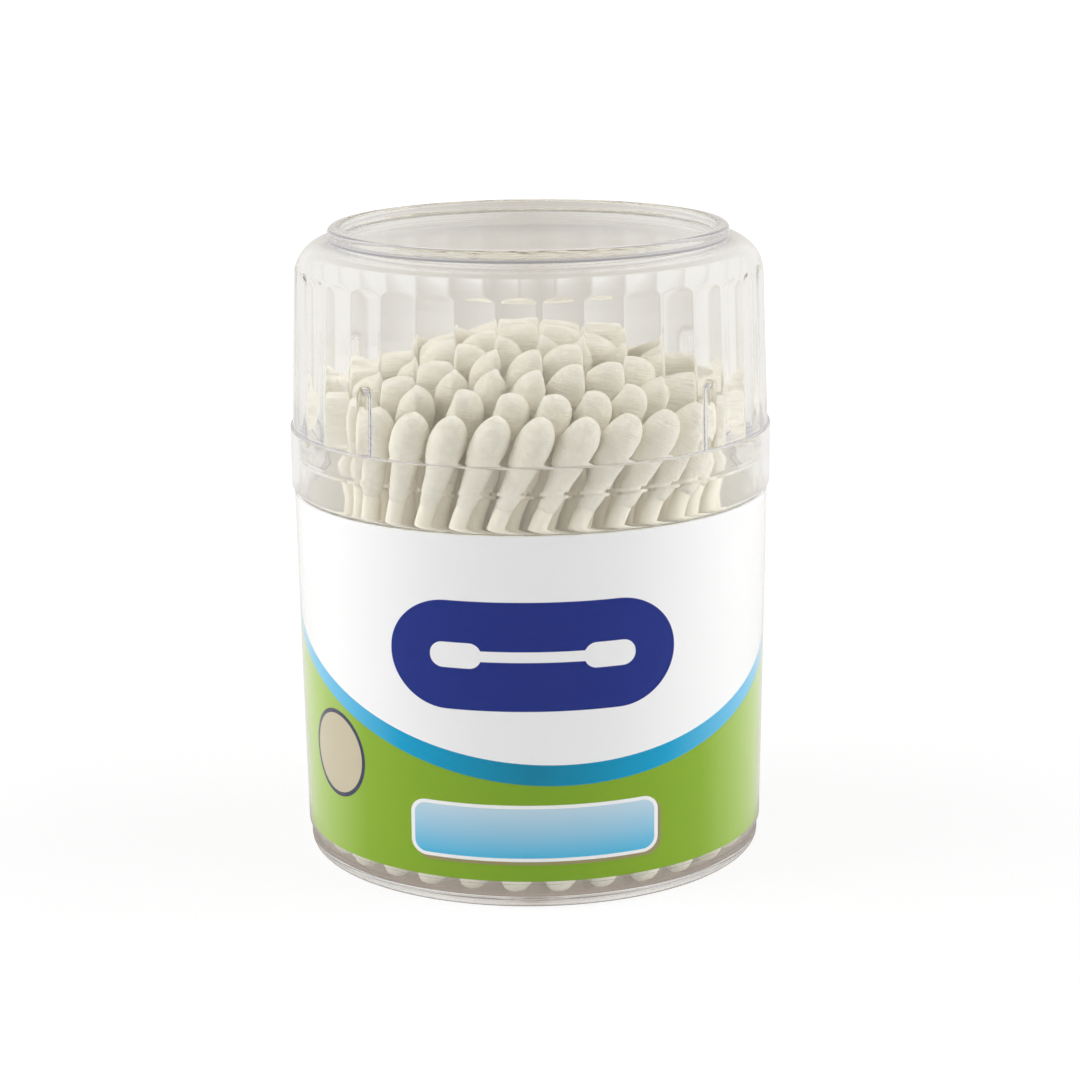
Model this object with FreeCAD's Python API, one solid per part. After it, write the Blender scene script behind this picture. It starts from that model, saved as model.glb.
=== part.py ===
import FreeCAD, Part
import math
import os
import random

from FreeCAD import Vector

# A round clear plastic tub of cotton swabs with a lift-off lid and a wrap label.
# Millimetres, +Z up, the centre of the foot at the origin, the front of the label towards -Y.

# Swabs
SWAB_LENGTH = 75.0
STICK_RADIUS = 1.15
STICK_END_COVER = 2.2
BUD_LENGTH = 14.5
BUD_RADIUS = 2.6
BUD_WIDEST_AT = 5.0
BUD_WAIST_RADIUS = 1.65
BUD_WAIST_AT = 10.5
BUD_NECK_RADIUS = 1.4
BUD_CAP_STEPS = 3
BUD_TAIL_STEPS = 2
BORE_CLEARANCE = 0.03

# How the swabs stand: rings that lean the same way round, like a loose twist
SWAB_PITCH = 5.75
TWIST_DEG = 62.0
TOP_SPREAD = 0.99
TOP_JITTER = 1.5
FOOT_JITTER = 0.4
SWAB_GAP = 0.12
WALL_GAP = 0.18
REST_GAP = 0.03
STICK_LEVELS = (0.3, 0.5, 0.7)
SETTLE_ROUNDS = 160
PUSH_SHARE = 0.52
SEED = 7
SWAB_GROUPS = 8

# Tub
BASE_RADIUS = 33.05
TUB_DRAFT_DEG = 0.85
BASE_CORNER = 1.4
FLOOR = 1.0
FOOT_HEIGHT = 0.4
FOOT_WIDTH = 2.6
GATE_RADIUS = 1.2
GATE_HEIGHT = 0.25
SHOULDER_HEIGHT = 53.4
RIM_HEIGHT = 62.5
NECK_RADIUS = 33.3
RIM_WALL = 0.95
INSIDE_DRAFT_DEG = 0.35
INSIDE_CORNER = 1.2
BEAD_HEIGHT = 58.8
BEAD_PROUD = 0.1
BEAD_HALF = 0.45
SMALL_EDGE = 0.2
TINY_EDGE = 0.1

# Lid
LID_FIT = 0.2
SKIRT_WALL = 1.05
SKIRT_LIFT = 0.2
SKIRT_LIP_RADIUS = 0.8
SKIRT_TOP_ABOVE_RIM = 0.2
LID_STEP = 0.35
LID_WALL = 1.2
LID_DRAFT_DEG = 2.0
LID_TOP_WALL = 1.2
HEADROOM = 11.7
SHOULDER_RADIUS = 5.3
INSIDE_SHOULDER_RADIUS = 4.0
RING_RADIUS = 28.6
RING_WIDTH = 2.0
RING_PROUD = 1.7
RING_ROUND = 0.8
FACETS = 36
FACET_TURN_DEG = 2.5
FACET_RELIEF = 0.05
RIBS = 4
RIB_TURN_DEG = 47.5
RIB_WIDTH = 2.0
RIB_PROUD = 1.0
RIB_LENGTH = 9.5

# Label, its print and its clear cover film
LABEL_BOTTOM = 4.1
LABEL_TOP_GAP = 0.1
LABEL_GAP = 0.03
LABEL_THICK = 0.08
INK_THICK = 0.03
FILM_THICK = 0.12
FILM_GAP = 0.04
FILM_OVERHANG = 0.4
SEAM_GAP = 0.6
BAND_TURN_DEG = 8.0
BAND_LOWEST = 17.9
BAND_RISE = 15.5
BAND_WIDTH_LOW = 3.0
BAND_WIDTH_SIDE = 2.0
PANEL_WIDTH = 38.8
PANEL_HEIGHT = 15.4
PANEL_ABOVE_FOOT = 36.4
ICON_LENGTH = 28.0
ICON_STICK = 1.5
ICON_BUD_LENGTH = 7.0
ICON_BUD_WIDTH = 3.6
END_FLAT = 0.08
INFO_WIDTH = 33.2
INFO_HEIGHT = 7.2
INFO_CORNER = 1.6
INFO_ABOVE_FOOT = 11.1
INFO_KEYLINE = 0.5
INFO_SHADOW_DROP = 0.5
DISC_RADIUS = 6.4
DISC_BORDER = 0.6
DISC_TURN_DEG = -56.0
DISC_ABOVE_FOOT = 18.5

# Worked out from the sizes above
FLOOR_TOP = FOOT_HEIGHT + FLOOR
RIM_INSIDE = NECK_RADIUS - RIM_WALL
SKIRT_INSIDE = NECK_RADIUS + LID_FIT
SKIRT_RADIUS = SKIRT_INSIDE + SKIRT_WALL
SKIRT_BOTTOM = SHOULDER_HEIGHT + SKIRT_LIFT
SKIRT_TOP = RIM_HEIGHT + SKIRT_TOP_ABOVE_RIM
INSIDE_TOP = FLOOR_TOP + SWAB_LENGTH + HEADROOM
PANEL_TOP = INSIDE_TOP + LID_TOP_WALL
LABEL_TOP = SHOULDER_HEIGHT - LABEL_TOP_GAP
SWAB_SPAN = SWAB_LENGTH - 2 * BUD_WIDEST_AT
NEAR = 4.0 * BUD_RADIUS
OVERCUT = 1.0
FAR = 3.0 * SKIRT_RADIUS
UP = Vector(0, 0, 1)
ORIGIN = Vector(0, 0, 0)


def slope(angle_deg):
    return math.tan(math.radians(angle_deg))


def wall_radius(z):
    return BASE_RADIUS + z * slope(TUB_DRAFT_DEG)


def inside_radius(z):
    return RIM_INSIDE - (RIM_HEIGHT - z) * slope(INSIDE_DRAFT_DEG)


def lid_radius(z):
    return SKIRT_RADIUS - LID_STEP - (z - SKIRT_TOP) * slope(LID_DRAFT_DEG)


def lid_inside_radius(z):
    return lid_radius(z) - LID_WALL


def rounded_wire(corners):
    """A closed outline in the XZ plane from (radius, height, size) corners.

    A size above zero is a fillet of that radius, and one below zero is a bevel that far along each side.
    """
    count = len(corners)
    starts = []
    ends = []
    arcs = []
    for index, (r, z, size) in enumerate(corners):
        here = Vector(r, 0, z)
        before = Vector(corners[index - 1][0], 0, corners[index - 1][1])
        after = Vector(corners[(index + 1) % count][0], 0, corners[(index + 1) % count][1])
        back = (before - here).normalize()
        ahead = (after - here).normalize()
        half = 0.5 * back.getAngle(ahead)
        reach = size / math.tan(half) if size > 0 else -size
        starts.append(here + back * reach)
        ends.append(here + ahead * reach)
        if size > 0:
            inner = here + (back + ahead).normalize() * (size / math.sin(half) - size)
            arcs.append(Part.Arc(starts[-1], inner, ends[-1]).toShape())
        elif size < 0:
            arcs.append(Part.LineSegment(starts[-1], ends[-1]).toShape())
        else:
            arcs.append(None)
    edges = []
    for index in range(count):
        if arcs[index] is not None:
            edges.append(arcs[index])
        following = starts[(index + 1) % count]
        if ends[index].distanceToPoint(following) > 1e-6:
            edges.append(Part.LineSegment(ends[index], following).toShape())
    return Part.Wire(edges)


def revolved(corners):
    return Part.Face(rounded_wire(corners)).revolve(ORIGIN, UP, 360)


def polar(radius, turn_deg, z=0.0):
    """A point at an angle from the front, -Y, positive towards +X."""
    turn = math.radians(turn_deg)
    return Vector(radius * math.sin(turn), -radius * math.cos(turn), z)


# Tub: one moulding with a foot ring, a drafted wall, a neck with a snap bead and a plain rim

def make_tub():
    foot_inside = BASE_RADIUS - BASE_CORNER - FOOT_WIDTH
    bead = NECK_RADIUS + BEAD_PROUD
    return revolved([
        (0, FOOT_HEIGHT - GATE_HEIGHT, 0),
        (GATE_RADIUS, FOOT_HEIGHT - GATE_HEIGHT, -TINY_EDGE),
        (GATE_RADIUS, FOOT_HEIGHT, 0),
        (foot_inside, FOOT_HEIGHT, 0),
        (foot_inside + FOOT_HEIGHT, 0, 0),
        (BASE_RADIUS, 0, BASE_CORNER),
        (wall_radius(SHOULDER_HEIGHT), SHOULDER_HEIGHT, -SMALL_EDGE),
        (NECK_RADIUS, SHOULDER_HEIGHT, 0),
        (NECK_RADIUS, BEAD_HEIGHT - BEAD_HALF, 0),
        (bead, BEAD_HEIGHT, -TINY_EDGE),
        (NECK_RADIUS, BEAD_HEIGHT + BEAD_HALF, 0),
        (NECK_RADIUS, RIM_HEIGHT, -SMALL_EDGE),
        (RIM_INSIDE, RIM_HEIGHT, -SMALL_EDGE),
        (inside_radius(FLOOR_TOP), FLOOR_TOP, INSIDE_CORNER),
        (0, FLOOR_TOP, 0),
    ])


# Lid: a skirt over the neck, a faceted inner wall, stop ribs and a raised stacking ring

def facet_prism(z_low, z_high):
    """The space inside the flat facets, as a closed solid of plane faces."""
    step = 360.0 / FACETS
    turns = [FACET_TURN_DEG + step * k for k in range(FACETS)]
    low = [polar(lid_inside_radius(z_low), turn, z_low) for turn in turns]
    high = [polar(lid_inside_radius(z_high), turn, z_high) for turn in turns]
    faces = [Part.Face(Part.makePolygon(low + low[:1])), Part.Face(Part.makePolygon(high + high[:1]))]
    for k in range(FACETS):
        n = (k + 1) % FACETS
        faces.append(Part.Face(Part.makePolygon([low[k], low[n], high[n], high[k], low[k]])))
    return Part.Solid(Part.Shell(faces))


def stop_rib(turn_deg):
    """A rib on the inner wall whose lower end comes down on the rim."""
    top = RIM_HEIGHT + RIB_LENGTH
    apothem = math.cos(math.pi / FACETS)
    face_low = lid_inside_radius(RIM_HEIGHT) * apothem - RIB_PROUD
    face_high = lid_inside_radius(top) * apothem - RIB_PROUD + RIB_LENGTH * slope(LID_DRAFT_DEG)
    sunk = 0.5 * LID_WALL
    outline = [
        Vector(face_low, -0.5 * RIB_WIDTH, RIM_HEIGHT),
        Vector(face_high, -0.5 * RIB_WIDTH, top - RIB_PROUD),
        Vector(face_high + RIB_PROUD, -0.5 * RIB_WIDTH, top),
        Vector(lid_inside_radius(top) + sunk, -0.5 * RIB_WIDTH, top),
        Vector(lid_inside_radius(RIM_HEIGHT) + sunk, -0.5 * RIB_WIDTH, RIM_HEIGHT),
    ]
    rib = Part.Face(Part.makePolygon(outline + outline[:1])).extrude(Vector(0, RIB_WIDTH, 0))
    rib.rotate(ORIGIN, UP, turn_deg - 90.0)
    return rib


def make_lid():
    body = revolved([
        (0, SKIRT_BOTTOM, 0),
        (SKIRT_RADIUS, SKIRT_BOTTOM, SKIRT_LIP_RADIUS),
        (SKIRT_RADIUS, SKIRT_TOP, -SMALL_EDGE),
        (lid_radius(SKIRT_TOP), SKIRT_TOP, 0),
        (lid_radius(PANEL_TOP), PANEL_TOP, SHOULDER_RADIUS),
        (0, PANEL_TOP, 0),
    ])
    ring_low = PANEL_TOP - 0.5 * LID_TOP_WALL
    ring = revolved([
        (RING_RADIUS - RING_WIDTH, ring_low, 0),
        (RING_RADIUS, ring_low, 0),
        (RING_RADIUS, PANEL_TOP + RING_PROUD, RING_ROUND),
        (RING_RADIUS - RING_WIDTH, PANEL_TOP + RING_PROUD, RING_ROUND),
    ])
    bore_low = SKIRT_BOTTOM - OVERCUT
    bore = revolved([
        (0, bore_low, 0),
        (SKIRT_INSIDE, bore_low, 0),
        (SKIRT_INSIDE, RIM_HEIGHT, 0),
        (0, RIM_HEIGHT, 0),
    ])
    inside_low = RIM_HEIGHT - OVERCUT
    dome = revolved([
        (0, inside_low, 0),
        (lid_inside_radius(inside_low) + FACET_RELIEF, inside_low, 0),
        (lid_inside_radius(INSIDE_TOP) + FACET_RELIEF, INSIDE_TOP, INSIDE_SHOULDER_RADIUS),
        (0, INSIDE_TOP, 0),
    ])
    inside = facet_prism(inside_low, INSIDE_TOP + OVERCUT).common(dome)
    lid = body.fuse(ring).cut(bore).cut(inside)
    ribs = [stop_rib(RIB_TURN_DEG + 360.0 / RIBS * k) for k in range(RIBS)]
    return lid.fuse(ribs).removeSplitter()


# Label: a wrap with a butt seam at the back, thin fields of ink on it and a clear film over both

def sleeve(offset, thickness, bottom=LABEL_BOTTOM, top=LABEL_TOP):
    shell = revolved([
        (wall_radius(bottom) + offset, bottom, 0),
        (wall_radius(bottom) + offset + thickness, bottom, 0),
        (wall_radius(top) + offset + thickness, top, 0),
        (wall_radius(top) + offset, top, 0),
    ])
    seam = Part.makeBox(SEAM_GAP, FAR, FAR, Vector(-0.5 * SEAM_GAP, 0, 0))
    return shell.cut(seam)


def below_slant(axis_height, rise):
    """Everything under a plane that is lowest at the front of the label and highest at the back."""
    block = Part.makeBox(2 * FAR, 2 * FAR, 2 * FAR, Vector(-FAR, -FAR, -2 * FAR))
    block.rotate(ORIGIN, Vector(1, 0, 0), math.degrees(math.atan2(rise, wall_radius(axis_height))))
    block.rotate(ORIGIN, UP, BAND_TURN_DEG)
    block.translate(Vector(0, 0, axis_height))
    return block


def front_plate(width, height, corner, above_foot):
    """A rounded bar along Y that marks out a plate on the front of the label."""
    box = Part.makeBox(width, FAR, height, Vector(-0.5 * width, -FAR, above_foot - 0.5 * height))
    along = [edge for edge in box.Edges if abs(edge.tangentAt(edge.FirstParameter).y) > 0.99]
    return box.makeFillet(corner, along)


def stadium(width, height):
    """A plate with round ends at the height of the panel."""
    return front_plate(width, height, 0.5 * height - END_FLAT, PANEL_ABOVE_FOOT)


def disc_bar(radius):
    return Part.makeCylinder(radius, FAR, Vector(0, 0, DISC_ABOVE_FOOT), polar(1, DISC_TURN_DEG))


def make_label_nodes():
    on_label = LABEL_GAP + LABEL_THICK
    ink = sleeve(on_label, INK_THICK)
    over_ink = sleeve(on_label + INK_THICK, INK_THICK)
    film = sleeve(
        on_label + 2 * INK_THICK + FILM_GAP,
        FILM_THICK,
        LABEL_BOTTOM - FILM_OVERHANG,
        LABEL_TOP,
    )
    side_height = BAND_LOWEST + BAND_RISE
    upper_rise = BAND_RISE + BAND_WIDTH_SIDE - BAND_WIDTH_LOW
    under_lower = below_slant(side_height, BAND_RISE)
    under_upper = below_slant(side_height + BAND_WIDTH_SIDE, upper_rise)
    panel = stadium(PANEL_WIDTH, PANEL_HEIGHT)
    bar = stadium(ICON_LENGTH, ICON_STICK)
    bud = stadium(ICON_BUD_LENGTH, ICON_BUD_WIDTH)
    reach = 0.5 * (ICON_LENGTH - ICON_BUD_LENGTH)
    icon = bar.fuse([bud.translated(Vector(-reach, 0, 0)), bud.translated(Vector(reach, 0, 0))])
    info = front_plate(INFO_WIDTH, INFO_HEIGHT, INFO_CORNER, INFO_ABOVE_FOOT)
    keyline = front_plate(
        INFO_WIDTH + 2 * INFO_KEYLINE,
        INFO_HEIGHT + 2 * INFO_KEYLINE,
        INFO_CORNER + INFO_KEYLINE,
        INFO_ABOVE_FOOT,
    )
    shadow = keyline.translated(Vector(INFO_SHADOW_DROP, 0, -INFO_SHADOW_DROP)).cut(keyline)
    disc = disc_bar(DISC_RADIUS - DISC_BORDER)
    border = disc_bar(DISC_RADIUS).cut(disc)
    return {
        "label": sleeve(LABEL_GAP, LABEL_THICK),
        "label_film": film,
        "print_green_field": ink.common(under_lower),
        "print_blue_band": ink.common(under_upper).cut(under_lower),
        "print_navy_panel": ink.common(panel),
        "print_swab_sign": over_ink.common(icon),
        "print_info_panel": over_ink.common(info),
        "print_info_keyline": over_ink.common(keyline.cut(info)),
        "print_info_shadow": over_ink.common(shadow),
        "print_disc": over_ink.common(disc),
        "print_disc_border": over_ink.common(border),
    }


# Swabs: a paper stick with a cotton bud wound on each end

def bud_outline():
    """Points along a bud from its tip: half an ellipse, a soft drop to the waist, then a thin tail."""
    points = []
    for step in range(BUD_CAP_STEPS):
        turn = 0.5 * math.pi * step / BUD_CAP_STEPS
        points.append(Vector(BUD_RADIUS * math.sin(turn), 0, BUD_WIDEST_AT * (1 - math.cos(turn))))
    for step in range(BUD_TAIL_STEPS + 1):
        share = step / BUD_TAIL_STEPS
        drop = (BUD_RADIUS - BUD_WAIST_RADIUS) * 0.5 * (1 - math.cos(math.pi * share))
        points.append(Vector(BUD_RADIUS - drop, 0, BUD_WIDEST_AT + (BUD_WAIST_AT - BUD_WIDEST_AT) * share))
    points.append(Vector(BUD_NECK_RADIUS, 0, BUD_LENGTH))
    return points


def make_bud():
    """One bud along +Z, its tip at the origin, with a blind bore for the stick."""
    bore = STICK_RADIUS + BORE_CLEARANCE
    bore_end = STICK_END_COVER - BORE_CLEARANCE
    inside = [Vector(bore, 0, BUD_LENGTH), Vector(bore, 0, bore_end), Vector(0, 0, bore_end), ORIGIN]
    return Part.Face(Part.makePolygon(bud_outline() + inside)).revolve(ORIGIN, UP, 360)


def first_stand(rng):
    """Where the widest places of every swab's two buds lie, ring by ring, before they settle."""
    stand = []
    ring = inside_radius(FLOOR_TOP) - BUD_RADIUS - WALL_GAP
    ring_step = 2 * BUD_RADIUS + 2 * SWAB_GAP
    turn = math.radians(TWIST_DEG)
    while ring > 0.5 * BUD_RADIUS:
        count = max(1, int(2 * math.pi * ring / SWAB_PITCH))
        start = rng.uniform(0, 2 * math.pi)
        for k in range(count):
            angle = start + 2 * math.pi * k / count
            x = ring * math.cos(angle) + rng.gauss(0, FOOT_JITTER)
            y = ring * math.sin(angle) + rng.gauss(0, FOOT_JITTER)
            u = TOP_SPREAD * ring * math.cos(angle + turn) + rng.gauss(0, TOP_JITTER)
            v = TOP_SPREAD * ring * math.sin(angle + turn) + rng.gauss(0, TOP_JITTER)
            stand.append([x, y, u, v])
        ring -= ring_step
    return stand


def push(swab, share, dx, dy):
    """Moves the point of a swab's axis at this share of its height."""
    weight = (1 - share) ** 2 + share ** 2
    swab[0] += dx * (1 - share) / weight
    swab[1] += dy * (1 - share) / weight
    swab[2] += dx * share / weight
    swab[3] += dy * share / weight


def point_at(swab, share):
    return swab[0] + share * (swab[2] - swab[0]), swab[1] + share * (swab[3] - swab[1])


def far_apart(one, other):
    """Whether two swabs can't touch, because neither their feet nor their tops are near."""
    feet = max(abs(one[0] - other[0]), abs(one[1] - other[1]))
    tops = max(abs(one[2] - other[2]), abs(one[3] - other[3]))
    return min(feet, tops) > NEAR


def keep_apart(one, other, share, apart):
    ax, ay = point_at(one, share)
    bx, by = point_at(other, share)
    dx = ax - bx
    dy = ay - by
    lean_x = (one[2] - one[0] + other[2] - other[0]) / (2 * SWAB_SPAN)
    lean_y = (one[3] - one[1] + other[3] - other[1]) / (2 * SWAB_SPAN)
    flat = math.hypot(dx, dy)
    along = dx * lean_x + dy * lean_y
    gap = math.sqrt(max(flat ** 2 - along ** 2, 1e-9))
    if gap < apart:
        move = PUSH_SHARE * (apart - gap) / max(flat, 1e-6)
        push(one, share, dx * move, dy * move)
        push(other, share, -dx * move, -dy * move)


def keep_inside(swab, share, limit):
    x, y = point_at(swab, share)
    out = math.hypot(x, y)
    if out > limit:
        push(swab, share, x * (limit / out - 1), y * (limit / out - 1))


def settled_stand():
    """Lets the swabs push each other apart inside the tub and the lid until none touch."""
    stand = first_stand(random.Random(SEED))
    tip = BUD_WIDEST_AT / SWAB_SPAN
    bud_apart = 2 * BUD_RADIUS + SWAB_GAP
    stick_apart = 2 * STICK_RADIUS + SWAB_GAP
    levels = [(0.0, bud_apart), (1.0, bud_apart)]
    levels += [(share, stick_apart) for share in STICK_LEVELS]
    tub_room = inside_radius(FLOOR_TOP) - 2 * WALL_GAP
    lid_room = lid_inside_radius(RIM_HEIGHT + RIB_LENGTH) - RIB_PROUD - 2 * WALL_GAP
    limits = [
        (-tip, tub_room - INSIDE_CORNER),
        (0.0, tub_room - BUD_RADIUS),
        (1.0, lid_room - BUD_RADIUS),
        (1.0 + tip, lid_room - 0.5 * BUD_RADIUS),
    ]
    for _ in range(SETTLE_ROUNDS):
        for index, one in enumerate(stand):
            for other in stand[index + 1:]:
                if far_apart(one, other):
                    continue
                for share, apart in levels:
                    keep_apart(one, other, share, apart)
        for swab in stand:
            for share, limit in limits:
                keep_inside(swab, share, limit)
    return stand


def make_swab_nodes():
    bud = make_bud()
    stick = Part.makeCylinder(
        STICK_RADIUS,
        SWAB_LENGTH - 2 * STICK_END_COVER,
        Vector(0, 0, STICK_END_COVER),
    )
    stand = settled_stand()
    nodes = {}
    for index, (x, y, u, v) in enumerate(stand):
        lean = Vector(u - x, v - y, 0)
        along = Vector(lean.x, lean.y, math.sqrt(SWAB_SPAN ** 2 - lean.Length ** 2)).normalize()
        reach_down = math.hypot(BUD_WIDEST_AT * along.z, BUD_RADIUS * math.hypot(along.x, along.y))
        widest = Vector(x, y, FLOOR_TOP + REST_GAP + reach_down)
        foot = widest - along * BUD_WIDEST_AT
        upright = FreeCAD.Placement(foot, FreeCAD.Rotation(UP, along))
        turned = FreeCAD.Placement(foot + along * SWAB_LENGTH, FreeCAD.Rotation(UP, along * -1))
        group = "swab_group_%d_" % (index * SWAB_GROUPS // len(stand) + 1)
        for name, shape, place in (
            ("sticks", stick, upright),
            ("lower_buds", bud, upright),
            ("upper_buds", bud, turned),
        ):
            piece = shape.copy()
            piece.Placement = place
            nodes.setdefault(group + name, []).append(piece)
    return {name: Part.makeCompound(pieces) for name, pieces in nodes.items()}


def main():
    os.makedirs("parts", exist_ok=True)
    nodes = {"tub": make_tub(), "lid": make_lid()}
    nodes.update(make_label_nodes())
    nodes.update(make_swab_nodes())
    for name, shape in nodes.items():
        shape.exportStep("parts/%s.step" % name)
        print("%-28s %3d solids %9.1f mm3 valid %s" % (name, len(shape.Solids), shape.Volume, shape.isValid()))


main()
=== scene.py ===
import math
import random

import bpy
from mathutils import Matrix, Vector


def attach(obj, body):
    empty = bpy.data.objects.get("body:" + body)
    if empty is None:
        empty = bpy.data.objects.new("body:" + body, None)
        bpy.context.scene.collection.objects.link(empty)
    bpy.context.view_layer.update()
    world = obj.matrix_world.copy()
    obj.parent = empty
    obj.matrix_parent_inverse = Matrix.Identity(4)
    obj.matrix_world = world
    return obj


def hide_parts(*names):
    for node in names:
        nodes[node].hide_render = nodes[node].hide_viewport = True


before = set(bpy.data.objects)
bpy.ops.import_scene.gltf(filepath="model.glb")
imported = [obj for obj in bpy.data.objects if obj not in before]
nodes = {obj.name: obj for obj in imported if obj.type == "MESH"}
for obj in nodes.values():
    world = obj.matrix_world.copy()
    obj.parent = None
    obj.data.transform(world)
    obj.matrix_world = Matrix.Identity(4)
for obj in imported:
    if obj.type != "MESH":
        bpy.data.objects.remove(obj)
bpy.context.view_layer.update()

MM = 0.001

# Camera, matched to the photograph: place, aim, lens and roll
CAMERA_AT = Vector((0.0, -407.70, 143.70)) * MM
CAMERA_AIM = Vector((0.00294, 0.97169, -0.23626))
CAMERA_ROLL = math.radians(-0.588)
CAMERA_LENS = 95.80
CAMERA_SENSOR = 36.0

# Lamps: strength, place, aim and size in metres
AMBIENT = 0.345
SIDE_POWER = 7.0
SIDE_LAMP_AT = (0.72, -0.02, 0.46)
SIDE_LAMP_AIM = (0, 0, 0.06)
SIDE_LAMP_SIZE = (0.9, 0.9)
FRONT_POWER = 0.8
FRONT_LAMP_AT = (0.0, -1.0, 0.16)
FRONT_LAMP_AIM = (0, 0, 0.05)
FRONT_LAMP_SIZE = (0.60, 0.25)
TOP_POWER = 0.55
TOP_LAMP_AT = (-0.30, -0.12, 0.80)
TOP_LAMP_AIM = (0, 0, 0.07)
TOP_LAMP_SIZE = (0.30, 0.30)

# Floor, and the room as the clear plastic shows it
FLOOR_HALF = 4.0
FLOOR_BOUNCE = 0.8
FLOOR_SHADOW = 0.18
FLOOR_OPEN_WHITE = (0.08, 0.45)
THROUGH_MIDDLE = (0.64, 0.61, 0.56)
THROUGH_SIDES = (0.90, 0.885, 0.86)
FRONT_MIRRORED = (0.30, 0.30, 0.30)
FRONT_THROUGH = (0.80, 0.78, 0.77)
FLOOR_MIDDLE = 0.075
FLOOR_FRONT = (-0.08, 0.02)
# Seen through the plastic, the floor gets a painted shadow colour under the tub that fades out between
# these two distances from the axis
PAINTED_SHADOW_UNDER_TUB = (0.36, 0.31, 0.27)
SHADE_REACH = (0.033, 0.042)
WORLD_MIDDLE = 0.3
WORLD_FRONT = (-0.7, 0.3)

# Clear plastic: index, roughness, and where a trapped ray leaves the wall
PLASTIC_TINT = (0.994, 0.992, 0.984)
PLASTIC_IOR = 1.59
PLASTIC_GLOSS = (0.015, 0.05)
FILM_TINT = (1.0, 1.0, 1.0)
FILM_IOR = 1.2
FILM_GLOSS = (0.02, 0.06)
HAZE_SCALE = 90.0
FLOW_SCALE = 45.0
FLOW_STRETCH = (1.0, 1.0, 0.35)
FLOW_BUMP = (0.02, 0.00025)
ESCAPE_DEPTH = 14.0
ESCAPE_TINT = (0.80, 0.80, 0.83)
LIGHT_BOUNCES = 24
DIFFUSE_BOUNCES = 5

# Cotton, paper and print, in metres where it is a size
COTTON_TONES = ((239, 233, 214), (249, 245, 231))
COTTON_SCALE = 900.0
COTTON_BUMP = (0.9, 0.00035)
STREAK_STRETCH = (4.0, 30.0, 1.0)
PAPER_TONES = ((245, 238, 217), (250, 245, 230))
GRAIN_SCALE = 2600.0
GRAIN_STRETCH = (1.0, 1.0, 0.15)
GRAIN_BUMP = (0.25, 0.00004)
TONE_ENDS = (0.3, 0.7)
MOTTLE_SCALE = 3200.0
MOTTLE_SHARE = 0.06
INK_SHINE = 0.05
INK_GLOSS = 0.42
LABEL_HALF_WIDTH = 0.0335
PANEL_HEIGHTS = (0.0074, 0.0148)

# Tub, in millimetres, as in the solid that it replaces
BASE_RADIUS = 33.05
TUB_DRAFT_DEG = 0.85
BASE_CORNER = 1.4
FLOOR = 1.0
FOOT_HEIGHT = 0.4
FOOT_WIDTH = 2.6
GATE_RADIUS = 1.2
GATE_HEIGHT = 0.25
SHOULDER_HEIGHT = 53.4
RIM_HEIGHT = 62.5
NECK_RADIUS = 33.3
RIM_WALL = 0.95
INSIDE_DRAFT_DEG = 0.35
INSIDE_CORNER = 1.2
BEAD_HEIGHT = 58.8
BEAD_PROUD = 0.1
BEAD_HALF = 0.45
BEAD_EDGE = 0.3
SMALL_EDGE = 0.2
INNER_EDGE = 0.15
TINY_EDGE = 0.1
FINE_EDGE = 0.08

# Lid
LID_FIT = 0.2
SKIRT_WALL = 1.05
SKIRT_LIFT = 0.2
SKIRT_LIP_RADIUS = 0.8
SKIRT_TOP_ABOVE_RIM = 0.2
LID_STEP = 0.35
LID_WALL = 1.2
LID_DRAFT_DEG = 2.0
LID_TOP_WALL = 1.2
INSIDE_TOP = 88.1
STEP_EDGE = 0.12
SHOULDER_RADIUS = 5.3
INSIDE_SHOULDER_RADIUS = 4.0
RING_RADIUS = 28.6
RING_WIDTH = 2.0
RING_PROUD = 1.7
RING_ROUND = 0.8
RING_FOOT_EDGE = 0.3
RING_SUNK = 0.02
RING_TO_SHOULDER = 4.0
RING_CLEAR = 0.1
SHOULDER_DROP = 6.0
FACETS = 36
FACET_TURN_DEG = 2.5
RIBS = 4
RIB_TURN_DEG = 47.5
RIB_WIDTH = 2.0
RIB_PROUD = 1.0
RIB_BLEND = 0.45
RIB_LENGTH = 9.5

# Cotton buds
BUD_LENGTH = 14.5
BUD_RADIUS = 2.6
BUD_WIDEST_AT = 5.0
BUD_WAIST_RADIUS = 1.65
BUD_WAIST_AT = 10.5
BUD_NECK_RADIUS = 1.4
BUD_TAIL = 2.5
STICK_RADIUS = 1.15
BUD_SEED = 11
UPPER_BUD_MESH = (40, 32)
LOWER_BUD_MESH = (28, 22)
BLUNT = 2.5
LOBE = 0.10
WRAP_RIDGE = 0.03
NOSE_SLANT = 0.25
EVEN_ROWS = 0.35
WRAP_TURNS = (1.6, 2.6)
NECK_FROM = 0.985
FIBRES = 60
FIBRE_STEPS = 4
FIBRE_WIDTH = 0.035
FIBRE_TAPER = 0.7
FIBRE_SWEEP = (0.25, 0.8)
FIBRE_CLIMB = 1.2
FIBRE_LIFT = (0.04, 0.3)
FIBRE_PROUD = 0.05

# How finely the clear mouldings are meshed
LID_COLUMNS = 540
LID_ROW = 2.5
LID_WALL_ROW = 0.5
LID_INSIDE_STEPS = 36
TUB_COLUMNS = 360
TUB_ROW = 3.0
ARC_STEP = 0.35

SKIRT_INSIDE = NECK_RADIUS + LID_FIT
SKIRT_RADIUS = SKIRT_INSIDE + SKIRT_WALL
SKIRT_BOTTOM = SHOULDER_HEIGHT + SKIRT_LIFT
SKIRT_TOP = RIM_HEIGHT + SKIRT_TOP_ABOVE_RIM
PANEL_TOP = INSIDE_TOP + LID_TOP_WALL
FLOOR_TOP = FOOT_HEIGHT + FLOOR


def slope(angle_deg):
    return math.tan(math.radians(angle_deg))


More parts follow.
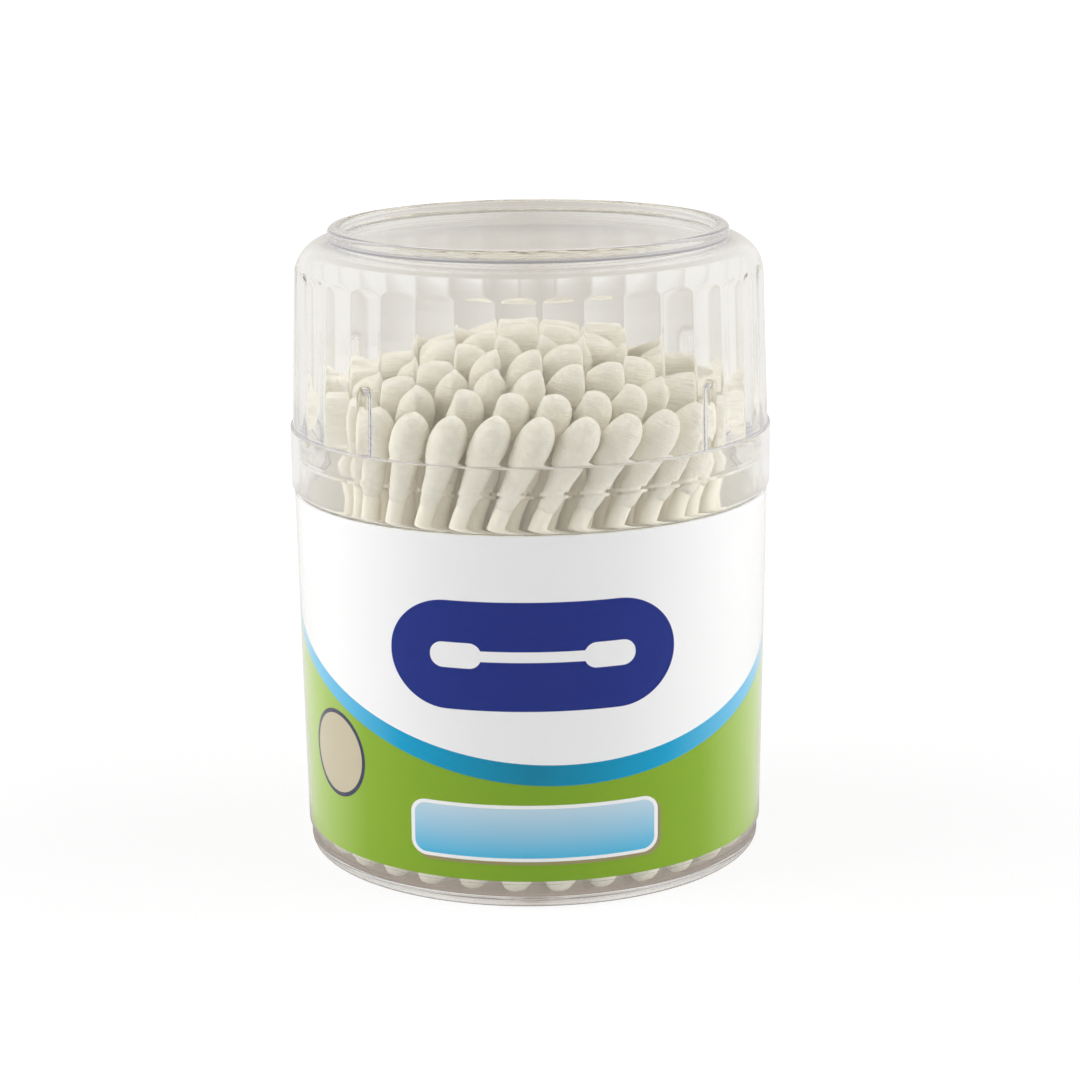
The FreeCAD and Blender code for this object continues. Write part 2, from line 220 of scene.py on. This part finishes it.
def wall_radius(z):
    return BASE_RADIUS + z * slope(TUB_DRAFT_DEG)


def inside_radius(z):
    return NECK_RADIUS - RIM_WALL - (RIM_HEIGHT - z) * slope(INSIDE_DRAFT_DEG)


def lid_radius(z):
    return SKIRT_RADIUS - LID_STEP - (z - SKIRT_TOP) * slope(LID_DRAFT_DEG)


def lid_inside_radius(z):
    return lid_radius(z) - LID_WALL


# Materials

def new_material(name):
    material = bpy.data.materials.new(name)
    material.use_nodes = True
    tree = material.node_tree
    tree.nodes.clear()
    output = tree.nodes.new("ShaderNodeOutputMaterial")
    shader = tree.nodes.new("ShaderNodeBsdfPrincipled")
    tree.links.new(shader.outputs[0], output.inputs["Surface"])
    return material, tree, shader


def noise(tree, vector, scale, detail=3.0, roughness=0.5):
    node = tree.nodes.new("ShaderNodeTexNoise")
    node.inputs["Scale"].default_value = scale
    node.inputs["Detail"].default_value = detail
    node.inputs["Roughness"].default_value = roughness
    tree.links.new(vector, node.inputs["Vector"])
    return node.outputs["Fac"]


def remap(tree, value, low, high, low_in=0.0, high_in=1.0):
    node = tree.nodes.new("ShaderNodeMapRange")
    node.inputs["From Min"].default_value = low_in
    node.inputs["From Max"].default_value = high_in
    node.inputs["To Min"].default_value = low
    node.inputs["To Max"].default_value = high
    tree.links.new(value, node.inputs["Value"])
    return node.outputs["Result"]


def stretched(tree, vector, scale):
    node = tree.nodes.new("ShaderNodeMapping")
    node.inputs["Scale"].default_value = scale
    tree.links.new(vector, node.inputs["Vector"])
    return node.outputs["Vector"]


def bump(tree, shader, height, strength, distance):
    node = tree.nodes.new("ShaderNodeBump")
    node.inputs["Strength"].default_value = strength
    node.inputs["Distance"].default_value = distance
    tree.links.new(height, node.inputs["Height"])
    tree.links.new(node.outputs["Normal"], shader.inputs["Normal"])


def place(tree, output="Object"):
    return tree.nodes.new("ShaderNodeTexCoord").outputs[output]


def ramp(tree, value, stops):
    node = tree.nodes.new("ShaderNodeValToRGB")
    steps = node.color_ramp.elements
    while len(steps) < len(stops):
        steps.new(0.5)
    for step, (position, colour) in zip(steps, stops):
        step.position = position
        step.color = (*colour, 1.0)
    tree.links.new(value, node.inputs["Fac"])
    return node.outputs["Color"]


def srgb(red, green, blue):
    """A colour written as 0 to 255 in the screen's scale, as the shader's linear value."""
    def linear(value):
        value = value / 255.0
        return value / 12.92 if value <= 0.04045 else ((value + 0.055) / 1.055) ** 2.4
    return tuple(linear(value) for value in (red, green, blue))


def clear_plastic(name, tint, ior, low_gloss, high_gloss):
    """Polished clear moulding: faint flow marks and a light haze that varies over the surface.

    A ray that runs round inside the wall for long leaves it straight, where it would end black.
    """
    material, tree, shader = new_material(name)
    path = tree.nodes.new("ShaderNodeLightPath")
    leave = tree.nodes.new("ShaderNodeBsdfTransparent")
    leave.inputs["Color"].default_value = (*ESCAPE_TINT, 1.0)
    trapped = maths(tree, "GREATER_THAN", path.outputs["Ray Depth"], ESCAPE_DEPTH)
    output = next(node for node in tree.nodes if node.type == "OUTPUT_MATERIAL")
    tree.links.new(blend(tree, trapped, shader.outputs[0], leave.outputs[0]), output.inputs["Surface"])
    shader.inputs["Base Color"].default_value = (*tint, 1.0)
    shader.inputs["Transmission Weight"].default_value = 1.0
    shader.inputs["IOR"].default_value = ior
    at = place(tree)
    haze = noise(tree, at, HAZE_SCALE, 4.0)
    tree.links.new(remap(tree, haze, low_gloss, high_gloss, 0.35, 0.7), shader.inputs["Roughness"])
    flow = noise(tree, stretched(tree, at, FLOW_STRETCH), FLOW_SCALE, 1.0)
    bump(tree, shader, flow, *FLOW_BUMP)
    return material


def tones(tree, value, pair):
    """Blends between two screen colours over the middle of a noise."""
    return ramp(tree, value, [(end, srgb(*colour)) for end, colour in zip(TONE_ENDS, pair)])


def cotton():
    """Wound cotton: soft matte fibre with fine streaks along the winding and a fuzz of sheen."""
    material, tree, shader = new_material("cotton_fibre")
    along = place(tree, "UV")
    streak = noise(tree, stretched(tree, along, STREAK_STRETCH), 1.0, 6.0, 0.7)
    clump = noise(tree, place(tree), COTTON_SCALE, 5.0, 0.65)
    tree.links.new(tones(tree, clump, COTTON_TONES), shader.inputs["Base Color"])
    shader.inputs["Roughness"].default_value = 0.95
    shader.inputs["Specular IOR Level"].default_value = 0.15
    shader.inputs["Sheen Weight"].default_value = 0.2
    shader.inputs["Sheen Roughness"].default_value = 0.6
    add = tree.nodes.new("ShaderNodeMath")
    add.operation = "ADD"
    tree.links.new(streak, add.inputs[0])
    tree.links.new(clump, add.inputs[1])
    bump(tree, shader, add.outputs[0], *COTTON_BUMP)
    return material


def paper():
    """Tightly rolled paper stick: matte, with a faint fibre grain along it."""
    material, tree, shader = new_material("stick_paper")
    at = place(tree)
    grain = noise(tree, stretched(tree, at, GRAIN_STRETCH), GRAIN_SCALE, 3.0)
    tree.links.new(tones(tree, grain, PAPER_TONES), shader.inputs["Base Color"])
    shader.inputs["Roughness"].default_value = 0.7
    bump(tree, shader, grain, *GRAIN_BUMP)
    return material


def print_ink(name, stops, source="flat"):
    """Printed film: an even ink with the fine mottle of the press, ramped along one direction. Across the
    label, a ramp that pales towards the sides is partly printed gradient and partly painted sheen of the
    grazing edges.
    """
    material, tree, shader = new_material(name)
    at = place(tree)
    split = tree.nodes.new("ShaderNodeSeparateXYZ")
    tree.links.new(at, split.inputs[0])
    mottle = noise(tree, at, MOTTLE_SCALE, 2.0)
    if source == "height":
        along = remap(tree, split.outputs["Z"], 0.0, 1.0, *PANEL_HEIGHTS)
    else:
        # Distance from the label's middle: the green and blue ramps pale along it, partly printed
        # gradient and partly painted sheen
        across_print_and_sheen = maths(tree, "ABSOLUTE", split.outputs["X"], 0.0)
        along = remap(tree, across_print_and_sheen, 0.0, 1.0, 0.0, LABEL_HALF_WIDTH)
    ink_and_painted_sheen = ramp(tree, along, stops)
    mix = tree.nodes.new("ShaderNodeMix")
    mix.data_type = "RGBA"
    mix.blend_type = "MULTIPLY"
    mix.inputs["Factor"].default_value = MOTTLE_SHARE
    tree.links.new(ink_and_painted_sheen, mix.inputs["A"])
    press = ramp(tree, mottle, [(0.35, (0.8, 0.8, 0.8)), (0.65, (1.0, 1.0, 1.0))])
    tree.links.new(press, mix.inputs["B"])
    tree.links.new(mix.outputs["Result"], shader.inputs["Base Color"])
    tree.links.new(remap(tree, mottle, INK_GLOSS - 0.05, INK_GLOSS + 0.05), shader.inputs["Roughness"])
    shader.inputs["Specular IOR Level"].default_value = INK_SHINE
    return material


def dress(node, material):
    slots = nodes[node].data.materials
    slots.clear()
    slots.append(material)


def pass_light(piece):
    """Lamps and soft light reach what lies behind a clear piece as if it weren't there."""
    piece.visible_shadow = False
    piece.visible_diffuse = False


# Outlines of the mouldings: rounded corners become rows of points

def rounded(corners, steps=5):
    """Points along an outline of (radius, height, fillet) corners; both ends stay as they are."""
    points = []
    for index, (r, z, fillet) in enumerate(corners):
        here = Vector((r, z))
        if fillet <= 0 or index in (0, len(corners) - 1):
            points.append(here)
            continue
        back = (Vector(corners[index - 1][:2]) - here).normalized()
        ahead = (Vector(corners[index + 1][:2]) - here).normalized()
        half = 0.5 * back.angle(ahead)
        middle = (back + ahead).normalized()
        centre = here + middle * (fillet / math.sin(half))
        start = here + back * (fillet / math.tan(half)) - centre
        end = here + ahead * (fillet / math.tan(half)) - centre
        sweep = start.angle_signed(end)
        count = max(steps, int(fillet * abs(sweep) / ARC_STEP))
        for k in range(count + 1):
            turned = start.copy()
            turned.rotate(Matrix.Rotation(-sweep * k / count, 2))
            points.append(centre + turned)
    return points


def spaced(points, longest):
    """Adds points on long stretches so that no quad is much longer than the others."""
    out = [points[0]]
    for a, b in zip(points, points[1:]):
        count = max(1, math.ceil((b - a).length / longest))
        out += [a.lerp(b, k / count) for k in range(1, count + 1)]
    return out


def turned_mesh(name, rows, columns, shape=None):
    """A closed moulding from rows of (radius, height) that run outwards from the axis and back to it.

    Its first row is the middle of an upper face, and its last the middle of a lower one.
    """
    verts = []
    faces = []
    for index, row in enumerate(rows):
        if index in (0, len(rows) - 1):
            verts.append((0.0, 0.0, row.y * MM))
            continue
        for k in range(columns):
            turn = 2 * math.pi * k / columns
            r, z = shape(index, row, turn) if shape else (row.x, row.y)
            verts.append((r * math.sin(turn) * MM, -r * math.cos(turn) * MM, z * MM))
    last = len(verts) - 1
    for k in range(columns):
        n = (k + 1) % columns
        faces.append((0, 1 + k, 1 + n))
        for band in range(len(rows) - 3):
            low = 1 + band * columns
            high = low + columns
            faces.append((low + k, high + k, high + n, low + n))
        low = 1 + (len(rows) - 3) * columns
        faces.append((low + n, low + k, last))
    mesh = bpy.data.meshes.new(name)
    mesh.from_pydata(verts, [], faces)
    mesh.polygons.foreach_set("use_smooth", [True] * len(faces))
    piece = bpy.data.objects.new(name, mesh)
    bpy.context.scene.collection.objects.link(piece)
    return piece


# Tub

def make_tub(material):
    foot_inside = BASE_RADIUS - BASE_CORNER - FOOT_WIDTH
    bead = NECK_RADIUS + BEAD_PROUD
    outline = rounded([
        (0, FOOT_HEIGHT - GATE_HEIGHT, 0),
        (GATE_RADIUS, FOOT_HEIGHT - GATE_HEIGHT, TINY_EDGE),
        (GATE_RADIUS, FOOT_HEIGHT, FINE_EDGE),
        (foot_inside, FOOT_HEIGHT, INNER_EDGE),
        (foot_inside + FOOT_HEIGHT, 0, INNER_EDGE),
        (BASE_RADIUS, 0, BASE_CORNER),
        (wall_radius(SHOULDER_HEIGHT), SHOULDER_HEIGHT, SMALL_EDGE),
        (NECK_RADIUS, SHOULDER_HEIGHT, INNER_EDGE),
        (NECK_RADIUS, BEAD_HEIGHT - BEAD_HALF, TINY_EDGE),
        (bead, BEAD_HEIGHT, BEAD_EDGE),
        (NECK_RADIUS, BEAD_HEIGHT + BEAD_HALF, TINY_EDGE),
        (NECK_RADIUS, RIM_HEIGHT, SMALL_EDGE),
        (NECK_RADIUS - RIM_WALL, RIM_HEIGHT, SMALL_EDGE),
        (inside_radius(FLOOR_TOP), FLOOR_TOP, INSIDE_CORNER),
        (0, FLOOR_TOP, 0),
    ])
    outline.reverse()
    tub = turned_mesh("clear_tub", spaced(outline, TUB_ROW), TUB_COLUMNS)
    tub.data.materials.append(material)
    pass_light(tub)
    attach(tub, "tub")
    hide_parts("tub")
    return tub


# Lid

def facet_radius(z, turn):
    """How far out the flat facets' plane is at this height and angle."""
    step = 2 * math.pi / FACETS
    from_middle = (turn - math.radians(FACET_TURN_DEG)) % step - 0.5 * step
    return lid_inside_radius(z) * math.cos(0.5 * step) / math.cos(from_middle)


def rib_radius(z, turn):
    """How far out the stop ribs let the inner wall reach."""
    top = RIM_HEIGHT + RIB_LENGTH
    quarter = 2 * math.pi / RIBS
    off = (turn - math.radians(RIB_TURN_DEG) + 0.5 * quarter) % quarter - 0.5 * quarter
    across = abs(off) * lid_inside_radius(z)
    half = 0.5 * RIB_WIDTH
    if z > top or across > half + RIB_BLEND:
        return SKIRT_RADIUS
    face = lid_inside_radius(RIM_HEIGHT) * math.cos(math.pi / FACETS) - RIB_PROUD
    sloped = max(0.0, z - (top - RIB_PROUD))
    share = max(0.0, across - half + RIB_BLEND) / (2 * RIB_BLEND)
    return face + sloped + RIB_PROUD * (1 - math.cos(math.pi * share))


def make_lid(material):
    outer = rounded([
        (0, PANEL_TOP, 0),
        (RING_RADIUS - RING_WIDTH, PANEL_TOP, RING_FOOT_EDGE),
        (RING_RADIUS - RING_WIDTH, PANEL_TOP + RING_PROUD, RING_ROUND),
        (RING_RADIUS, PANEL_TOP + RING_PROUD, RING_ROUND),
        (RING_RADIUS, PANEL_TOP - RING_SUNK, 0),
    ])
    shoulder = rounded([
        (RING_RADIUS - RING_TO_SHOULDER, PANEL_TOP, 0),
        (lid_radius(PANEL_TOP), PANEL_TOP, SHOULDER_RADIUS),
        (lid_radius(SKIRT_TOP), SKIRT_TOP, STEP_EDGE),
        (SKIRT_RADIUS, SKIRT_TOP, SMALL_EDGE),
        (SKIRT_RADIUS, SKIRT_BOTTOM, SKIRT_LIP_RADIUS),
        (SKIRT_INSIDE, SKIRT_BOTTOM, TINY_EDGE),
        (SKIRT_INSIDE, RIM_HEIGHT, FINE_EDGE),
        (lid_inside_radius(RIM_HEIGHT), RIM_HEIGHT, 0),
    ])
    beside_ring = RING_RADIUS + RING_CLEAR
    below_shoulder = PANEL_TOP - SHOULDER_DROP
    shoulder = [point for point in shoulder if point.x > beside_ring or point.y < below_shoulder]
    inner = rounded([
        (lid_inside_radius(RIM_HEIGHT), RIM_HEIGHT, 0),
        (lid_inside_radius(INSIDE_TOP), INSIDE_TOP, INSIDE_SHOULDER_RADIUS),
        (0, INSIDE_TOP, 0),
    ], steps=LID_INSIDE_STEPS)
    above = spaced([inner[0], inner[1]], LID_WALL_ROW)
    rows = spaced(outer + shoulder, LID_ROW)
    first_inner = len(rows)
    rows += above[1:] + inner[2:-1] + [inner[-1]]

    def inner_wall(index, row, turn):
        if index < first_inner - 1:
            return row.x, row.y
        limit = min(facet_radius(row.y, turn), rib_radius(row.y, turn))
        return min(row.x, limit), row.y

    lid = turned_mesh("clear_lid", rows, LID_COLUMNS, inner_wall)
    lid.data.materials.append(material)
    pass_light(lid)
    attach(lid, "lid")
    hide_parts("lid")
    return lid


# Cotton buds, one detailed bud for each plain one in a node

def loose_parts(mesh):
    """Groups of vertex places, one group for each separate solid of a node."""
    places = {}
    group_of = []
    for vertex in mesh.vertices:
        key = tuple(round(c * 1e6) for c in vertex.co)
        group_of.append(places.setdefault(key, len(places)))
    parent = list(range(len(places)))

    def root(i):
        while parent[i] != i:
            parent[i] = parent[parent[i]]
            i = parent[i]
        return i

    for polygon in mesh.polygons:
        first = root(group_of[polygon.vertices[0]])
        for index in polygon.vertices[1:]:
            parent[root(group_of[index])] = first
    groups = {}
    for vertex, group in zip(mesh.vertices, group_of):
        groups.setdefault(root(group), []).append(vertex.co.copy())
    return list(groups.values())


def bud_axis(points, upper):
    """Tip and direction of a bud: its neck end is the far ring, its tip the single far point."""
    centre = sum(points, Vector()) / len(points)
    far = sorted(points, key=lambda p: (p - centre).length)
    tips = [p for p in far if (p.z > centre.z) == upper]
    tip = max(tips, key=lambda p: (p - centre).length)
    span = BUD_LENGTH * MM
    neck = [p for p in points if (p - tip).length > span * NECK_FROM]
    end = sum(neck, Vector()) / len(neck)
    return tip, (end - tip).normalized()


def bud_radius(s):
    """The plain bud's radius this far from its tip, with a slightly blunter cap."""
    if s < BUD_WIDEST_AT:
        share = s / BUD_WIDEST_AT
        return BUD_RADIUS * math.sqrt(1 - (1 - share) ** BLUNT)
    if s < BUD_WAIST_AT:
        share = (s - BUD_WIDEST_AT) / (BUD_WAIST_AT - BUD_WIDEST_AT)
        return BUD_RADIUS - (BUD_RADIUS - BUD_WAIST_RADIUS) * 0.5 * (1 - math.cos(math.pi * share))
    share = (s - BUD_WAIST_AT) / (BUD_LENGTH - BUD_WAIST_AT)
    plain = BUD_WAIST_RADIUS + (BUD_NECK_RADIUS - BUD_WAIST_RADIUS) * share
    tail = max(0.0, 1 - (BUD_LENGTH - s) / BUD_TAIL)
    return plain + (STICK_RADIUS - BUD_NECK_RADIUS) * tail ** 2


def add_bud(verts, faces, uvs, tip, along, fineness, rng):
    """One wound bud: the plain outline, a little lopsided, with the soft ridges of the wraps."""
    sides, rows = fineness
    side = along.orthogonal().normalized()
    other = along.cross(side)
    spin = rng.uniform(0, 2 * math.pi)
    slant = rng.uniform(0, 2 * math.pi)
    lobes = [(n, rng.uniform(0, 2 * math.pi), rng.uniform(0.3, 1.0) * LOBE / n) for n in (1, 2, 3, 5)]
    wraps = rng.uniform(*WRAP_TURNS)
    start = len(verts)
    verts.append(tip)
    for row in range(1, rows + 1):
        share = row / rows
        s = BUD_LENGTH * (EVEN_ROWS * share + (1 - EVEN_ROWS) * share ** 2)
        fade = math.sin(math.pi * s / BUD_LENGTH)
        for k in range(sides):
            turn = 2 * math.pi * k / sides
            lump = sum(size * math.cos(n * turn + phase + 0.3 * s) for n, phase, size in lobes)
            ridge = WRAP_RIDGE * math.sin(wraps * s + turn + spin)
            nose = NOSE_SLANT * math.cos(turn - slant) * (1 - share) ** 3
            r = (bud_radius(s) + fade * (lump + ridge - LOBE * 0.5) + nose * fade) * MM
            verts.append(tip + along * (s * MM) + (side * math.cos(turn) + other * math.sin(turn)) * r)
    for k in range(sides):
        n = (k + 1) % sides
        u0 = k / sides + spin
        u1 = (k + 1) / sides + spin
        faces.append((start, start + 1 + n, start + 1 + k))
        uvs += [(u0, spin), (u1, spin), (u0, spin)]
        for row in range(rows - 1):
            low = start + 1 + row * sides
            high = low + sides
            faces.append((low + k, low + n, high + n, high + k))
            v0 = row / rows + spin
            v1 = (row + 1) / rows + spin
            uvs += [(u0, v0), (u1, v0), (u1, v1), (u0, v1)]
    low = start + 1 + (rows - 1) * sides
    faces.append(tuple(low + k for k in range(sides)))
    uvs += [(spin, spin)] * sides


def add_fibres(verts, faces, uvs, tip, along, rng):
    """Loose fibres that lie round the bud and lift a little at their ends."""
    side = along.orthogonal().normalized()
    other = along.cross(side)
    for _ in range(FIBRES):
        s = rng.uniform(0.3, BUD_WAIST_AT)
        turn = rng.uniform(0, 2 * math.pi)
        sweep = rng.uniform(*FIBRE_SWEEP) * rng.choice((-1, 1))
        climb = rng.uniform(-FIBRE_CLIMB, FIBRE_CLIMB)
        lift = rng.uniform(*FIBRE_LIFT)
        start = len(verts)
        for step in range(FIBRE_STEPS + 1):
            share = step / FIBRE_STEPS
            at = min(BUD_LENGTH, max(FIBRE_PROUD, s + climb * share))
            reach = bud_radius(at) + FIBRE_PROUD + lift * share ** 2
            angle = turn + sweep * share
            out = side * math.cos(angle) + other * math.sin(angle)
            for edge in (-0.5, 0.5):
                width = edge * FIBRE_WIDTH * (1 - FIBRE_TAPER * share)
                verts.append(tip + along * ((at + width) * MM) + out * (reach * MM))
        for step in range(FIBRE_STEPS):
            low = start + 2 * step
            faces.append((low, low + 2, low + 3, low + 1))
            uvs += [(0.0, 0.0)] * 4


def make_buds(material):
    rng = random.Random(BUD_SEED)
    for name in sorted(nodes):
        if not name.endswith("_buds"):
            continue
        verts = []
        faces = []
        uvs = []
        upper = "upper" in name
        fineness = UPPER_BUD_MESH if upper else LOWER_BUD_MESH
        for points in loose_parts(nodes[name].data):
            tip, along = bud_axis(points, upper)
            add_bud(verts, faces, uvs, tip, along, fineness, rng)
            if upper:
                add_fibres(verts, faces, uvs, tip, along, rng)
        mesh = bpy.data.meshes.new("cotton_" + name)
        mesh.from_pydata(verts, [], faces)
        mesh.polygons.foreach_set("use_smooth", [True] * len(faces))
        layer = mesh.uv_layers.new(name="winding")
        for loop, uv in zip(layer.data, uvs):
            loop.uv = uv
        piece = bpy.data.objects.new("cotton_" + name, mesh)
        bpy.context.scene.collection.objects.link(piece)
        mesh.materials.append(material)
        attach(piece, "tub")
        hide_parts(name)


# Print: the label's CAD nodes in their inks

def dress_label():
    """White film and inks that soft light passes; only the small light panel stops it."""
    white = srgb(241, 241, 241)
    plain = {
        "label": [(0.0, white), (1.0, white)],
        # The green and blue inks pale towards the label's sides: partly a printed gradient, partly a
        # painted sheen at the grazing edges
        "print_green_field": [
            (0.0, srgb(126, 164, 42)),
            (0.7, srgb(134, 170, 46)),
            (1.0, srgb(176, 204, 108)),
        ],
        "print_blue_band": [
            (0.0, srgb(18, 128, 160)),
            (0.55, srgb(16, 156, 200)),
            (1.0, srgb(120, 198, 234)),
        ],
        "print_navy_panel": [(0.0, srgb(33, 49, 130)), (1.0, srgb(33, 49, 130))],
        "print_swab_sign": [(0.0, white), (1.0, white)],
        "print_info_keyline": [(0.0, white), (1.0, white)],
        "print_info_shadow": [(0.0, srgb(150, 142, 98)), (1.0, srgb(150, 142, 98))],
        "print_disc": [(0.0, srgb(194, 184, 158)), (1.0, srgb(194, 184, 158))],
        "print_disc_border": [(0.0, srgb(60, 60, 84)), (1.0, srgb(60, 60, 84))],
    }
    for node, stops in plain.items():
        dress(node, print_ink("ink_" + node, stops))
        nodes[node].visible_diffuse = False
    info = [(0.0, srgb(76, 180, 220)), (1.0, srgb(190, 214, 228))]
    dress("print_info_panel", print_ink("ink_print_info_panel", info, "height"))


# Stage, lamps and camera

def maths(tree, operation, first, second):
    node = tree.nodes.new("ShaderNodeMath")
    node.operation = operation
    for socket, value in zip(node.inputs, (first, second)):
        if isinstance(value, float):
            socket.default_value = value
        else:
            tree.links.new(value, socket)
    return node.outputs[0]


def looks(tree):
    """Two shares: the open view of the camera, and its view by way of the clear plastic."""
    path = tree.nodes.new("ShaderNodeLightPath")
    bent = maths(tree, "MAXIMUM", path.outputs["Is Transmission Ray"], path.outputs["Is Glossy Ray"])
    unlit = maths(tree, "LESS_THAN", path.outputs["Diffuse Depth"], 0.5)
    return path.outputs["Is Camera Ray"], maths(tree, "MULTIPLY", bent, unlit)


def blend(tree, share, first, second):
    mix = tree.nodes.new("ShaderNodeMixShader")
    tree.links.new(share, mix.inputs["Fac"])
    tree.links.new(first, mix.inputs[1])
    tree.links.new(second, mix.inputs[2])
    return mix.outputs[0]


def room_tone(tree, vector, middle_reach, front_low, front_high):
    """What the plastic shows of the room: a dark front, a bright back and a greyer middle."""
    split = tree.nodes.new("ShaderNodeSeparateXYZ")
    tree.links.new(vector, split.inputs[0])
    across = maths(tree, "ABSOLUTE", split.outputs["X"], 0.0)
    behind = ramp(
        tree,
        remap(tree, across, 0.0, 1.0, 0.0, middle_reach),
        [(0.0, THROUGH_MIDDLE), (1.0, THROUGH_SIDES)],
    )
    front = tree.nodes.new("ShaderNodeMix")
    front.data_type = "RGBA"
    front.inputs["A"].default_value = (*FRONT_MIRRORED, 1.0)
    front.inputs["B"].default_value = (*FRONT_THROUGH, 1.0)
    path = tree.nodes.new("ShaderNodeLightPath")
    tree.links.new(path.outputs["Is Transmission Ray"], front.inputs["Factor"])
    mix = tree.nodes.new("ShaderNodeMix")
    mix.data_type = "RGBA"
    tree.links.new(front.outputs["Result"], mix.inputs["A"])
    tree.links.new(behind, mix.inputs["B"])
    tree.links.new(remap(tree, split.outputs["Y"], 0.0, 1.0, front_low, front_high), mix.inputs["Factor"])
    return mix.outputs["Result"]


def make_floor():
    mesh = bpy.data.meshes.new("floor")
    half = FLOOR_HALF
    corners = [(-half, -half, 0), (half, -half, 0), (half, half, 0), (-half, half, 0)]
    mesh.from_pydata(corners, [], [(0, 1, 2, 3)])
    floor = bpy.data.objects.new("floor", mesh)
    bpy.context.scene.collection.objects.link(floor)
    material, tree, bounce = new_material("floor_white")
    bounce.inputs["Base Color"].default_value = (FLOOR_BOUNCE, FLOOR_BOUNCE, FLOOR_BOUNCE, 1.0)
    bounce.inputs["Roughness"].default_value = 0.9
    bounce.inputs["Specular IOR Level"].default_value = 0.0
    shadowed = tree.nodes.new("ShaderNodeBsdfDiffuse")
    shadowed.inputs["Color"].default_value = (FLOOR_SHADOW, FLOOR_SHADOW, FLOOR_SHADOW, 1.0)
    length = tree.nodes.new("ShaderNodeVectorMath")
    length.operation = "LENGTH"
    tree.links.new(place(tree), length.inputs[0])
    glow = tree.nodes.new("ShaderNodeEmission")
    open_white = remap(tree, length.outputs["Value"], 1.0 - FLOOR_SHADOW, 1.0, *FLOOR_OPEN_WHITE)
    tree.links.new(open_white, glow.inputs["Strength"])
    add = tree.nodes.new("ShaderNodeAddShader")
    tree.links.new(shadowed.outputs[0], add.inputs[0])
    tree.links.new(glow.outputs[0], add.inputs[1])
    # Seen through the plastic the floor glows with the room's tone, darkened under the tub to a painted
    # shadow colour
    soft = tree.nodes.new("ShaderNodeEmission")
    shade = tree.nodes.new("ShaderNodeMix")
    shade.data_type = "RGBA"
    shade.inputs["A"].default_value = (*PAINTED_SHADOW_UNDER_TUB, 1.0)
    tree.links.new(room_tone(tree, place(tree), FLOOR_MIDDLE, *FLOOR_FRONT), shade.inputs["B"])
    clear_of_painted_shadow = remap(tree, length.outputs["Value"], 0.0, 1.0, *SHADE_REACH)
    tree.links.new(clear_of_painted_shadow, shade.inputs["Factor"])
    tree.links.new(shade.outputs["Result"], soft.inputs["Color"])
    direct, by_plastic = looks(tree)
    bounced = blend(tree, by_plastic, bounce.outputs[0], soft.outputs[0])
    output = next(node for node in tree.nodes if node.type == "OUTPUT_MATERIAL")
    tree.links.new(blend(tree, direct, bounced, add.outputs[0]), output.inputs["Surface"])
    mesh.materials.append(material)


def make_world():
    world = bpy.data.worlds.new("studio")
    bpy.context.scene.world = world
    world.use_nodes = True
    tree = world.node_tree
    tree.nodes.clear()
    output = tree.nodes.new("ShaderNodeOutputWorld")
    ambient = tree.nodes.new("ShaderNodeBackground")
    ambient.inputs["Strength"].default_value = AMBIENT
    soft = tree.nodes.new("ShaderNodeBackground")
    room = room_tone(tree, place(tree, "Generated"), WORLD_MIDDLE, *WORLD_FRONT)
    tree.links.new(room, soft.inputs["Color"])
    white = tree.nodes.new("ShaderNodeBackground")
    white.inputs["Color"].default_value = (1.0, 1.0, 1.0, 1.0)
    direct, by_plastic = looks(tree)
    bounced = blend(tree, by_plastic, ambient.outputs[0], soft.outputs[0])
    tree.links.new(blend(tree, direct, bounced, white.outputs[0]), output.inputs["Surface"])


def softbox(name, at, aim, size, power):
    """A soft lamp that lights the object but doesn't show in the clear plastic."""
    light = bpy.data.lights.new(name, "AREA")
    light.shape = "RECTANGLE"
    light.size, light.size_y = size
    light.energy = power
    lamp = bpy.data.objects.new(name, light)
    lamp.location = at
    lamp.rotation_euler = (Vector(aim) - Vector(at)).to_track_quat("-Z", "Y").to_euler()
    lamp.visible_glossy = False
    lamp.visible_transmission = False
    bpy.context.scene.collection.objects.link(lamp)


def make_camera():
    data = bpy.data.cameras.new("camera")
    data.lens = CAMERA_LENS
    data.sensor_width = CAMERA_SENSOR
    data.clip_start = 0.01
    camera = bpy.data.objects.new("camera", data)
    turn = CAMERA_AIM.to_track_quat("-Z", "Y").to_matrix() @ Matrix.Rotation(CAMERA_ROLL, 3, "Z")
    camera.matrix_world = Matrix.Translation(CAMERA_AT) @ turn.to_4x4()
    bpy.context.scene.collection.objects.link(camera)
    bpy.context.scene.camera = camera


make_camera()
make_world()
make_floor()
for name, side in (("softbox_left", -1), ("softbox_right", 1)):
    beside = (side * SIDE_LAMP_AT[0], *SIDE_LAMP_AT[1:])
    softbox(name, beside, SIDE_LAMP_AIM, SIDE_LAMP_SIZE, SIDE_POWER)
softbox("softbox_front", FRONT_LAMP_AT, FRONT_LAMP_AIM, FRONT_LAMP_SIZE, FRONT_POWER)
softbox("softbox_top", TOP_LAMP_AT, TOP_LAMP_AIM, TOP_LAMP_SIZE, TOP_POWER)

plastic = clear_plastic("clear_polystyrene", PLASTIC_TINT, PLASTIC_IOR, *PLASTIC_GLOSS)
make_tub(plastic)
make_lid(plastic)
make_buds(cotton())
sticks = paper()
for node_name in nodes:
    if node_name.endswith("_sticks"):
        dress(node_name, sticks)
dress_label()
film = clear_plastic("clear_film", FILM_TINT, FILM_IOR, *FILM_GLOSS)
dress("label_film", film)
pass_light(nodes["label_film"])

scene = bpy.context.scene
scene.view_settings.view_transform = "Standard"
scene.cycles.max_bounces = LIGHT_BOUNCES
scene.cycles.glossy_bounces = LIGHT_BOUNCES
scene.cycles.transmission_bounces = LIGHT_BOUNCES
scene.cycles.diffuse_bounces = DIFFUSE_BOUNCES
